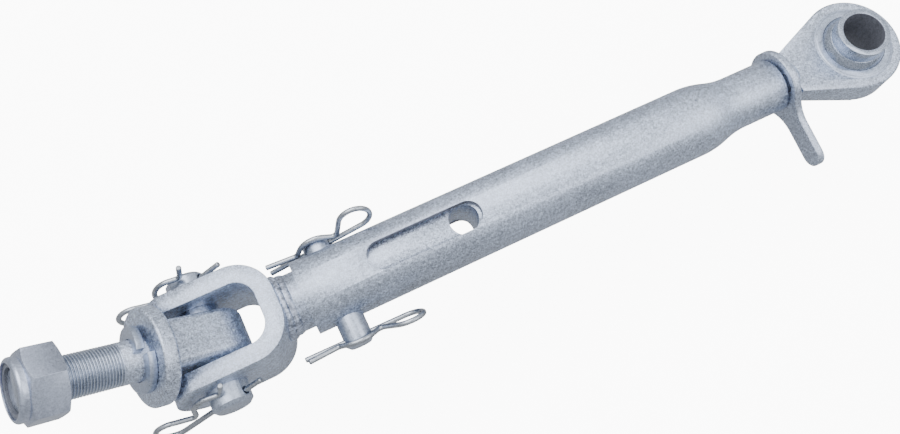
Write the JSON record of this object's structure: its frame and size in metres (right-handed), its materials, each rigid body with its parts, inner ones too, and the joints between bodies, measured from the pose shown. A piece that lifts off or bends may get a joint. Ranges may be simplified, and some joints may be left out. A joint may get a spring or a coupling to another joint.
{
  "type": "lower link stabilizer",
  "caption": "Telescoping steel strut with a hinged threaded stud end, a pinned slotted tube and a swivel ball eye with a locking lever.",
  "frame": {"origin": "centre of the swivel ball", "axes": "+X along the strut from the hinged end to the ball, +Y along the locking pin, +Z out of the slotted side"},
  "size_m": [0.5364, 0.0949, 0.0947],
  "materials": {
    "zinc_plated_steel": "bright zinc plating with a fine grained satin surface",
    "spring_wire": "bright zinc-plated spring wire",
    "zinc_nut": "smooth pale zinc plating",
    "weld": "rough plated weld bead",
    "bearing_steel": "smooth plated steel",
    "nylon": "matte nylon"
  },
  "bodies": {
    "strut": {"outer_tube": "zinc_plated_steel", "inner_bar": "zinc_plated_steel", "fork": "zinc_plated_steel", "weld_bead": "weld"},
    "locking_pin_set": {"locking_pin": "zinc_plated_steel", "locking_pin_clip_upper": "spring_wire", "locking_pin_clip_lower": "spring_wire"},
    "hinge_pin_set": {"hinge_pin": "zinc_plated_steel", "hinge_pin_clip_upper": "spring_wire", "hinge_pin_clip_lower": "spring_wire"},
    "bolt": {"eye_bolt": "zinc_plated_steel"},
    "washer": {"spring_washer": "zinc_plated_steel"},
    "nut": {"lock_nut": "zinc_nut", "nut_insert": "nylon"},
    "eye": {"eye_rod": "zinc_plated_steel", "ball_race": "bearing_steel"},
    "lever": {"locking_lever": "zinc_plated_steel"},
    "swivel_ball": {"ball": "bearing_steel"}
  },
  "joints": [
    {"name": "bolt_hinge", "type": "hinge", "parent": "strut", "child": "bolt", "pos_m": [-0.4173, 0, 0], "axis": [0, 0.9962, -0.0872], "range_deg": [-125.2, 54.8]},
    {"name": "washer_slide", "type": "slide", "parent": "bolt", "child": "washer", "axis": [-0.8171, 0.0502, 0.5742], "range_m": [0, 0.0322]},
    {"name": "nut_turn", "type": "hinge", "parent": "bolt", "child": "nut", "pos_m": [-0.48839, 0.00437, 0.04996], "axis": [-0.8171, 0.0502, 0.5742], "continuous": true},
    {"name": "hinge_pin_turn", "type": "hinge", "parent": "strut", "child": "hinge_pin_set", "pos_m": [-0.4173, 0, 0], "axis": [0, 0.9962, -0.0872], "range_deg": [-90, 120]},
    {"name": "locking_pin_slide", "type": "slide", "parent": "strut", "child": "locking_pin_set", "axis": [0, 1, 0], "range_m": [0, 0.0085]},
    {"name": "eye_turn", "type": "hinge", "parent": "strut", "child": "eye", "pos_m": [-0.05, 0, 0], "axis": [1, 0, 0], "continuous": true},
    {"name": "lever_turn", "type": "hinge", "parent": "eye", "child": "lever", "pos_m": [-0.053, 0, 0], "axis": [1, 0, 0], "continuous": true},
    {"name": "ball_tilt", "type": "hinge", "parent": "eye", "child": "swivel_ball", "pos_m": [0, 0, 0], "axis": [0, 0.9986, -0.0523], "range_deg": [-12, 12]}
  ]
}
